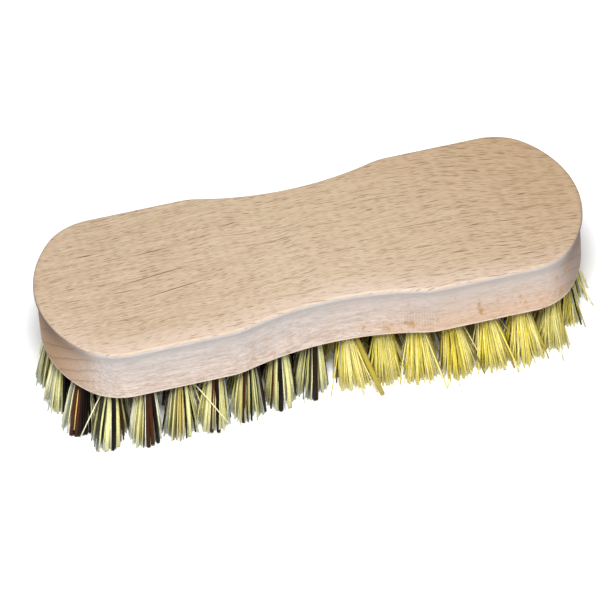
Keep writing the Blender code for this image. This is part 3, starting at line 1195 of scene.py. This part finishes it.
# The strands that stand out on the front, by half and by the number of their tuft in the outer row:
# each one's kind, its place from left (-1) to right (1), and how far its tip is shifted in millimetres.
FRONT_STRANDS: dict[tuple[Half, int], list[tuple[Strand, float] | tuple[Strand, float, Triple]]] = {
    (Half.HARD, 1): [
        (GREY, -0.9), (BLADE, -0.75), (BLADE, -0.45), (CREAM, -0.28), (BLACK, -0.08), (BLACK, 0.12),
    ],
    (Half.HARD, 2): [(GREY, -0.95), (CREAM, -0.7), (GREY, -0.4), (BLADE, -0.1), (THIN_BLACK, 0.5)],
    (Half.HARD, 3): [
        (GREY, -0.95), (CREAM, -0.8), (RED_BROWN, -0.62), (THIN_BLACK, -0.5),
        (GOLD, -0.47, (-0.3, -0.6, 1.5)), (RED_BROWN, -0.36), (DARK_BROWN, -0.18), (BLACK, 0.0),
        (BLACK, 0.2), (BLACK, 0.4), (THIN_BLACK, 0.7),
    ],
    (Half.HARD, 5): [
        (CREAM, -0.9, (-3.0, 0.0, 3.2)), (BLADE, -0.6), (BLADE, -0.2), (CREAM, 0.0), (BLACK, 0.1),
        (BLACK, 0.18), (CREAM, 0.28), (BLADE, 0.45), (THIN_BROWN, 0.85),
    ],
    (Half.HARD, 7): [
        (BLADE, -0.6), (THIN_BLACK, -0.3), (CREAM, -0.2), (DARK_BROWN, 0.0), (RED_BROWN, 0.2),
        (CREAM, 0.36), (BLACK, 0.55), (CREAM, 0.8),
    ],
    (Half.HARD, 9): [
        (THIN_BLACK, -0.99), (GREY, -0.9), (BLADE, -0.5), (GOLD, -0.3), (GOLD, -0.16), (GOLD, -0.02),
        (THIN_BLACK, 0.2), (BLADE, 0.4), (THIN_BLACK, 0.75), (CREAM, 0.9, (7.4, -3.9, 2.8)),
    ],
    (Half.HARD, 11): [
        (BLADE, -0.7), (CREAM, -0.45), (RED_BROWN, -0.3), (BLACK, -0.02), (CREAM, 0.1), (BLADE, 0.35),
        (GREY, 0.8),
    ],
    (Half.HARD, 13): [
        (BLADE, -0.8), (RED_BROWN, -0.5), (CREAM, -0.35), (THIN_BLACK, -0.2), (THIN_BLACK, 0.0),
        (BLADE, 0.3), (GREY, 0.7),
    ],
    (Half.HARD, 15): [
        (THIN_BROWN, -0.7), (BLADE, -0.4), (BLACK, -0.2), (BLACK, -0.12), (CREAM, 0.05), (BLADE, 0.3),
        (THIN_BROWN, 0.4),
    ],
    (Half.HARD, 17): [(THIN_BLACK, -0.6), (CREAM, -0.2), (DARK_BROWN, 0.0), (DARK_BROWN, 0.08)],
    (Half.SOFT, 1): [(GREY, -0.8), (OLIVE, 0.75, (1.9, -4.3, 0.0))],
    (Half.SOFT, 5): [(CREAM, 0.45, (2.7, -3.3, 0.0)), (THIN_OLIVE, 0.8, (1.0, -1.5, 0.0))],
    (Half.SOFT, 7): [(THIN_OLIVE, 0.8, (1.8, -1.5, 0.0))],
    (Half.SOFT, 9): [(THIN_OLIVE, 0.7, (1.5, -1.0, 0.0)), (CREAM, 0.6, (2.4, -2.8, 0.0))],
    (Half.SOFT, 11): [(THIN_OLIVE, 0.8, (1.2, -1.0, 0.0))],
    (Half.SOFT, 13): [(THIN_OLIVE, 0.6, (1.5, -1.0, 0.0))],
    (Half.SOFT, 15): [
        (GREY, 0.3, (1.0, -0.5, 0.0)), (THIN_BLACK, 0.5, (1.2, -0.5, 0.0)), (GREY, 0.8, (1.0, 0.0, 0.0)),
    ],
    (Half.SOFT, 17): [
        (GREY, -0.2, (0.8, 0.0, 0.0)), (GREY, 0.1, (0.8, 0.0, 0.0)), (THIN_BLACK, 0.3, (1.0, -0.5, 0.0)),
        (GREY, 0.45, (1.2, 0.0, 0.0)), (GREY, 0.6, (0.6, 0.0, 0.0)), (GREY, 0.8, (1.0, 0.0, 0.0)),
        (GREY, 1.0, (1.0, 0.5, 0.0)),
    ],
}


@dataclass
class Tuft:
    """A bundle of fibres folded over a wire anchor, pushed into its hole and fanned out below."""

    place: TuftPlace
    recipe: TuftRecipe
    bristle_length: float = 15.5 * MM
    root_radius: float = 1.95 * MM
    fold_height: float = 7.7 * MM
    fold_rise: float = 0.7 * MM
    least_rise: float = 0.15 * MM
    wire_thickness: float = 0.4 * MM
    wire_length: float = 4.0 * MM
    wire_height: float = 2.0 * MM
    wire_round: float = 0.06 * MM
    wire_slot: int = 2
    locks: int = 7
    lock_turn: float = 0.3
    lock_tint_spread: float = 0.25
    own_tint_spread: float = 0.15
    own_shade_spread: float = 0.24
    most_tint: float = 0.8
    sway_spread: float = 0.15 * MM
    inner_spread: float = 2.0
    inward_spread: float = 2.1
    stray_scatter: float = 3.0
    trim_height: float = 0.14 * MM
    trim_spread: float = 0.5 * MM
    short_spread: float = 1.6 * MM
    short_share: float = 0.12
    strand_reach: float = 1.02
    strand_root: float = 0.9
    strand_sway: float = 0.12 * MM
    strand_height: float = 0.35 * MM
    strand_trim: float = 0.3 * MM
    strand_shade_spread: float = 0.08
    hidden_arc: float = 1.4
    # Counts of dark strands; the hidden ones darken the gaps between the tufts, partly as a painted shade.
    soft_thin: int = 18
    hidden_thin: int = 26
    outer_thin: int = 12
    outer_thick: tuple[int, int] = (3, 5)
    inner_thick: int = 7
    pale_strands: int = 4
    sway: Vector = field(init=False)
    chance: random.Random = field(init=False)
    bm: bmesh.types.BMesh = field(init=False)
    shade: bmesh.types.BMLayerItem = field(init=False)
    tint: bmesh.types.BMLayerItem = field(init=False)
    along: bmesh.types.BMLayerItem = field(init=False)
    stock: dict[tuple[int, int], bpy.types.Mesh] = field(default_factory=dict)

    def __post_init__(self) -> None:
        """Starts the tuft's own seeded chance and its empty mesh."""
        self.chance = random.Random(self.place.node)
        sway = self.recipe.end_sway if self.at_end else self.recipe.sway
        aside = self.scatter(self.sway_spread)
        self.sway = Matrix.Rotation(-self.place.outward, 2) @ (Vector((sway, 0.0)) + aside)
        self.bm = bmesh.new()
        layers = self.bm.verts.layers.float
        for name in ("shade", "tint", "along"):
            layers.new(name)
        self.shade, self.tint, self.along = (layers[n] for n in ("shade", "tint", "along"))

    @property
    def at_end(self) -> bool:
        """Whether the tuft stands at its half's end, where the tips are gathered in."""
        return abs(self.place.mouth.x) > self.recipe.end_start

    @property
    def outer(self) -> bool:
        """Whether the tuft stands in the outer row."""
        return self.place.row is Row.OUTER

    @property
    def reach(self) -> float:
        """How far the tips fan out; the inner tufts have room to fan out further."""
        spread = self.recipe.end_spread if self.at_end else 1.0
        return self.recipe.reach * (spread if self.outer else self.inner_spread)

    def scatter(self, spread: float) -> Vector:
        """A shift by chance, with one spread both ways."""
        return Vector((self.chance.gauss(0, spread), self.chance.gauss(0, spread)))

    def straight_fibre(self, sides: int, rings: int) -> bpy.types.Mesh:
        """A straight closed fibre from z = 0 to z = 1, made once and then copied and bent.

        Args:
            sides: number of its sides.
            rings: number of its rings of points.

        Returns:
            The fibre's mesh.
        """
        if (sides, rings) not in self.stock:
            bm = bmesh.new()
            bmesh.ops.create_cone(
                bm,
                cap_ends=True,
                segments=sides,
                radius1=1.0,
                radius2=1.0,
                depth=1.0,
                matrix=Matrix.Translation((0.0, 0.0, 0.5)),
            )
            long_edges = [e for e in bm.edges if abs(e.verts[0].co.z - e.verts[1].co.z) > 0.5]
            bmesh.ops.subdivide_edges(bm, edges=long_edges, cuts=rings - 2, use_grid_fill=True)
            for face in bm.faces:
                face.smooth = abs(face.normal.z) < 0.5
            mesh = bpy.data.meshes.new(f"straight_fibre_{sides}_{rings}")
            bm.to_mesh(mesh)
            bm.free()
            self.stock[sides, rings] = mesh
        return self.stock[sides, rings]

    def add_fibre(
        self, path: list[Vector], along: list[float], look: StrandLook, width: float
    ) -> None:
        """Copies a straight fibre into the tuft and bends it along a path.

        Args:
            path: the middle of each ring of points.
            along: distance from the tip to the hole at each ring, as a share.
            look: its shape, shade, material slot and tint.
            width: its width across the flat side.
        """
        first_vert, first_face = len(self.bm.verts), len(self.bm.faces)
        self.bm.from_mesh(self.straight_fibre(look.shape.sides, len(path)))
        self.bm.verts.ensure_lookup_table()
        self.bm.faces.ensure_lookup_table()
        turn = self.chance.uniform(0.0, math.pi)
        half = width / 2
        frames = []
        for i, point in enumerate(path):
            ahead = path[min(i + 1, len(path) - 1)] - path[max(i - 1, 0)]
            ahead.normalize()
            side = Vector((0.0, 1.0, 0.0))
            side = (side - side.dot(ahead) * ahead).normalized()
            other = ahead.cross(side)
            flat = side * math.cos(turn) + other * math.sin(turn)
            thin = ahead.cross(flat)
            frames.append((point, flat * half, thin * half * look.shape.flatness))
        for vert in self.bm.verts[first_vert:]:
            ring = round(vert.co.z * (len(path) - 1))
            point, flat, thin = frames[ring]
            vert.co = point + flat * vert.co.x + thin * vert.co.y
            vert[self.shade] = look.shade
            vert[self.tint] = look.tint
            vert[self.along] = along[ring]
        for face in self.bm.faces[first_face:]:
            face.material_index = look.slot

    def drop_to(self, x: float, height: float) -> float:
        """How far below the mouth a tip lies that is x outwards in the leaning tuft, at a height."""
        lean = self.place.lean
        return (self.bristle_length - height + x * math.sin(lean)) / math.cos(lean)

    def leg(self, root: Vector, tip: Vector, sway: Vector, height: float, wander: float) -> list[Vector]:
        """The part of a fibre that shows, from the hole's mouth to its tip.

        Args:
            root: place in the mouth.
            tip: place of the tip, seen along the tuft, before it sways.
            sway: how far the tip is pushed aside.
            height: the tip's height above the floor.
            wander: how far it may bow out of line.

        Returns:
            Four points from the mouth to the tip.
        """
        drop = self.drop_to(tip.x + sway.x, height)
        bow = self.scatter(wander / 2)
        points = []
        for share in (0.0, 0.3, 0.65, 1.0):
            flat = root.lerp(tip, share**self.recipe.fan_bend) + sway * share
            flat += bow * math.sin(math.pi * share)
            points.append(Vector((flat.x, flat.y, -drop * share)))
        return points

    def fanned(self, root: Vector, locks: list[Vector]) -> Vector:
        """Where a fibre's tip goes: out from the middle, and a little towards its lock.

        Args:
            root: its place in the mouth.
            locks: the middles of the locks that fibres gather in.

        Returns:
            The tip's place, seen along the tuft.
        """
        tip = root * (self.reach / self.root_radius)
        nearest = min(locks, key=lambda lock: (lock - tip).length)
        tip = tip.lerp(nearest, self.recipe.lock_pull)
        if self.outer and tip.x < 0:
            tip.x *= self.inward_spread
        stray = self.stray_scatter if self.chance.random() < self.recipe.stray_share else 1.0
        return tip + self.scatter(self.recipe.tip_scatter * stray)

    def tip_height(self) -> float:
        """A tip's height above the floor: most are trimmed level, and a few are short."""
        spread = self.short_spread if self.chance.random() < self.short_share else self.trim_spread
        return self.trim_height + abs(self.chance.gauss(0, spread))

    def add_folds(self) -> None:
        """Fills the tuft with fibres, each folded over the wire so that both of its ends show."""
        recipe, reach = self.recipe, self.reach
        locks = []
        for i in range(self.locks):
            radius = reach * math.sqrt((i + 0.5) / self.locks)
            angle = i * GOLDEN_ANGLE + self.chance.uniform(-self.lock_turn, self.lock_turn)
            locks.append(Vector((radius * math.cos(angle), radius * math.sin(angle))))
        lock_shades = [self.chance.gauss(0.0, recipe.shade_spread) for _ in locks]
        lock_tints = [self.chance.gauss(0.0, self.lock_tint_spread) for _ in locks]
        start = self.chance.uniform(0.0, math.tau)
        down = [0.0, 0.35, 0.7, 1.0, 1.5]
        for i in range(recipe.folds):
            radius = self.root_radius * math.sqrt((i + 0.5) / recipe.folds)
            angle = start + i * GOLDEN_ANGLE
            out = max(abs(radius * math.cos(angle)), self.wire_thickness)
            beside = radius * math.sin(angle)
            width = self.chance.uniform(recipe.fibre.least_width, recipe.fibre.most_width)
            aim = Vector((out, beside)) * (reach / self.root_radius)
            own_lock = min(range(len(locks)), key=lambda k: (locks[k] - aim).length)
            # Inner tufts take darker fibres, a painted shade.
            shade = recipe.shade_middle if self.outer else recipe.inner_painted_shade
            shade += lock_shades[own_lock] + self.chance.gauss(0.0, self.own_shade_spread)
            rise = self.fold_rise * out / self.root_radius + self.least_rise
            path = [Vector((0.0, beside, self.fold_height + rise))]
            for sign in (1, -1):
                root = Vector((sign * out, beside))
                tip = self.fanned(root, locks)
                leg = self.leg(root, tip, self.sway, self.tip_height(), recipe.fibre.wander)
                leg.insert(0, Vector((root.x, root.y, self.fold_height)))
                path = [*reversed(leg), *path] if sign > 0 else [*path, *leg]
            tint = lock_tints[own_lock] + self.chance.gauss(0.0, self.own_tint_spread)
            shade, tint = min(max(shade, 0.0), 1.0), min(max(tint, 0.0), self.most_tint)
            look = StrandLook(recipe.fibre, shade, 0, tint)
            self.add_fibre(path, [*down, down[-1], *reversed(down)], look, width)

    def add_strand(
        self, strand: Strand, angle: float, depth: float = 1.0, shift_mm: Triple = (0.0, 0.0, 0.0)
    ) -> None:
        """Adds one strand that stands out from the fine fibres.

        Args:
            strand: its kind.
            angle: its direction from the tuft's middle, counterclockwise from the brush's +X axis.
            depth: distance from the middle, as a share of the tuft's radius.
            shift_mm: how far its tip is shifted along the brush's X, Y and Z.
        """
        look = strand.value
        to_tuft = Matrix.Rotation(-self.place.outward, 2)
        rim = Vector((math.cos(angle), math.sin(angle))) * depth
        rim.rotate(to_tuft)
        root = rim * self.root_radius
        tip = rim * self.reach * self.strand_reach
        if self.outer and tip.x < 0:
            tip.x *= self.inward_spread
        sway = self.sway + to_tuft @ Vector((shift_mm[0] * MM, shift_mm[1] * MM))
        sway += self.scatter(self.strand_sway)
        height = self.strand_height + abs(self.chance.gauss(0, self.strand_trim)) + shift_mm[2] * MM
        leg = self.leg(root, tip, sway, height, look.shape.wander)
        path = [*reversed(leg), Vector((root.x, root.y, self.fold_height * self.strand_root))]
        width = self.chance.uniform(look.shape.least_width, look.shape.most_width)
        shade = min(max(look.shade + self.chance.gauss(0, self.strand_shade_spread), 0.0), 1.0)
        own_look = StrandLook(look.shape, shade, look.slot, look.tint)
        self.add_fibre(path, [0.12, 0.35, 0.7, 1.0, 1.5], own_look, width)

    def add_scattered(self, kinds: tuple[Strand, ...], count: int, hidden: bool) -> None:
        """Scatters strands round the tuft.

        Args:
            kinds: the kinds to choose from.
            count: number of strands.
            hidden: whether they keep to the side that faces the middle of the brush.
        """
        away = math.atan2(-self.place.mouth.y, -self.place.mouth.x)
        for _ in range(count):
            angle = away + self.chance.uniform(-1.0, 1.0) * (self.hidden_arc if hidden else math.pi)
            self.add_strand(self.chance.choice(kinds), angle, math.sqrt(self.chance.random()))

    def add_front_strands(self) -> None:
        """Adds the strands that stand out on the front of a tuft of the outer row."""
        if self.outer:
            for kind, across, *shift_mm in FRONT_STRANDS.get((self.place.half, self.place.number), []):
                self.add_strand(kind, -math.acos(across), 1.0, *shift_mm)

    def add_dark_strands(self) -> None:
        """Scatters the dark strands; on the hard half's front only hidden ones, beside FRONT_STRANDS."""
        # The hidden dark strands darken the gaps between the tufts: on the hard half partly its own dark
        # fibre and partly a painted shade, on the soft half a painted shade.
        if self.place.half is Half.SOFT:
            self.add_scattered(THIN_SOFT, self.soft_thin, hidden=True)
        elif self.outer and self.place.mouth.y < 0:
            self.add_scattered(THIN_DARK, self.hidden_thin, hidden=True)
        else:
            thick = self.chance.randint(*self.outer_thick) if self.outer else self.inner_thick
            self.add_scattered(THICK_DARK, 0 if self.at_end else thick, hidden=False)
            self.add_scattered(PALE, self.pale_strands, hidden=False)
            thin = self.outer_thin if self.outer else self.hidden_thin
            self.add_scattered(THIN_DARK, thin, hidden=self.outer)

    def add_wire(self) -> None:
        """Adds the flat wire anchor that the fibres fold over."""
        first = len(self.bm.faces)
        made = bmesh.ops.create_cube(
            self.bm,
            size=1.0,
            matrix=Matrix.Translation((0.0, 0.0, self.fold_height - self.wire_height / 2))
            @ Matrix.Diagonal((self.wire_thickness, self.wire_length, self.wire_height, 1.0)),
        )
        edges = {edge for vert in made["verts"] for edge in vert.link_edges}
        bmesh.ops.bevel(
            self.bm,
            geom=list(edges),
            offset=self.wire_round,
            offset_type="OFFSET",
            affect="EDGES",
            segments=2,
            profile=0.5,
            material=-1,
        )
        self.bm.faces.ensure_lookup_table()
        for face in self.bm.faces[first:]:
            face.material_index = self.wire_slot
            face.smooth = True

    def build(self, materials: list[bpy.types.Material]) -> bpy.types.Object:
        """Builds the tuft where it belongs and dresses it in its fibres.

        Args:
            materials: the main fibre, the dark fibre, the wire and the grey fibre.

        Returns:
            The finished tuft.
        """
        self.add_folds()
        self.add_front_strands()
        self.add_dark_strands()
        self.add_wire()
        bmesh.ops.transform(self.bm, matrix=self.place.matrix, verts=self.bm.verts)
        tuft = finished(self.bm, self.place.node + "_fibres", materials)
        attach(tuft, BODY)
        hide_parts(self.place.node)
        return tuft


@dataclass
class TuftFill:
    """All the tufts of the brush, and the finishes that they share."""

    places: list[TuftPlace]
    stock: dict[tuple[int, int], bpy.types.Mesh] = field(default_factory=dict)

    def build(self) -> list[bpy.types.Object]:
        """Builds every tuft.

        Returns:
            The finished tufts.
        """
        main = {Half.HARD: Tampico().build(), Half.SOFT: YellowTampico().build()}
        shared = [Bassine().build(), GalvanisedWire().build(), GreyTampico().build()]
        tufts = []
        for place in self.places:
            tuft = Tuft(place, RECIPES[place.half], stock=self.stock)
            tufts.append(tuft.build([main[place.half], *shared]))
        for mesh in self.stock.values():
            bpy.data.meshes.remove(mesh)
        return tufts


@dataclass
class Studio:
    """A pale floor, soft light from all round, a large lamp above, and the photograph's camera."""

    floor_side: float = 6.0
    sky_strength: float = 0.08
    sky_colour: str = "F4F6FF"
    key_power: float = 13.2
    key_size: float = 0.3
    key_colour: str = "FFFFFF"
    key_place: Triple = (-0.1, -0.47, 0.87)
    camera_place: Triple = (-0.199409, -0.947353, 0.893836)
    camera_target: Triple = (-0.003647, -0.002804, 0.0151)
    camera_roll: float = math.radians(-4.0925)
    lens: float = 322.963
    sensor_width: float = 36.0
    clip_range: Pair = (0.01, 20.0)

    def build_floor(self) -> bpy.types.Object:
        """Builds the floor that the tips stand on."""
        bm = bmesh.new()
        bmesh.ops.create_grid(bm, x_segments=1, y_segments=1, size=self.floor_side / 2)
        floor = finished(bm, "floor", [MattPaper().build()])
        return floor

    def build_light(self) -> None:
        """Builds the even light all round and the lamp above."""
        world = bpy.data.worlds.new("soft_white")
        bpy.context.scene.world = world
        world.use_nodes = True
        sky = world.node_tree.nodes["Background"]
        sky.inputs["Color"].default_value = linear(self.sky_colour)
        sky.inputs["Strength"].default_value = self.sky_strength
        lamp = bpy.data.lights.new("softbox", "AREA")
        lamp.shape = "SQUARE"
        lamp.size = self.key_size
        lamp.energy = self.key_power
        lamp.color = linear(self.key_colour)[:3]
        key = bpy.data.objects.new("softbox", lamp)
        bpy.context.scene.collection.objects.link(key)
        key.location = self.key_place
        towards = -Vector(self.key_place)
        key.rotation_mode = "QUATERNION"
        key.rotation_quaternion = towards.to_track_quat("-Z", "Y")

    def build_camera(self) -> bpy.types.Object:
        """Builds the camera at the photograph's viewing angle."""
        data = bpy.data.cameras.new("photo_camera")
        data.sensor_width = self.sensor_width
        data.lens = self.lens
        data.clip_start, data.clip_end = self.clip_range
        camera = bpy.data.objects.new("photo_camera", data)
        bpy.context.scene.collection.objects.link(camera)
        camera.location = self.camera_place
        forward = Vector(self.camera_target) - Vector(self.camera_place)
        roll = Quaternion((0.0, 0.0, 1.0), self.camera_roll)
        camera.rotation_mode = "QUATERNION"
        camera.rotation_quaternion = forward.to_track_quat("-Z", "Y") @ roll
        bpy.context.scene.camera = camera
        return camera

    def build(self) -> None:
        """Builds the floor, the light and the camera."""
        self.build_floor()
        self.build_light()
        self.build_camera()
        view = bpy.context.scene.view_settings
        view.view_transform = "Standard"
        view.look = "None"


def write_sizes() -> None:
    """Updates the view layer."""
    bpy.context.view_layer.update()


def main() -> None:
    """Builds the studio, the block and the tufts, in that order, and reports each piece."""
    logging.basicConfig(level=logging.INFO, format="%(name)s: %(message)s")
    Studio().build()
    outline = BlockOutline()
    places = TuftField(outline).places()
    block = BrushBlock(outline).build(places, SandedBeech().build())
    for piece in (block, *TuftFill(places).build()):
        log.info("%s: %d faces", piece.name, len(piece.data.polygons))
    write_sizes()


if __name__ == "__main__":
    main()
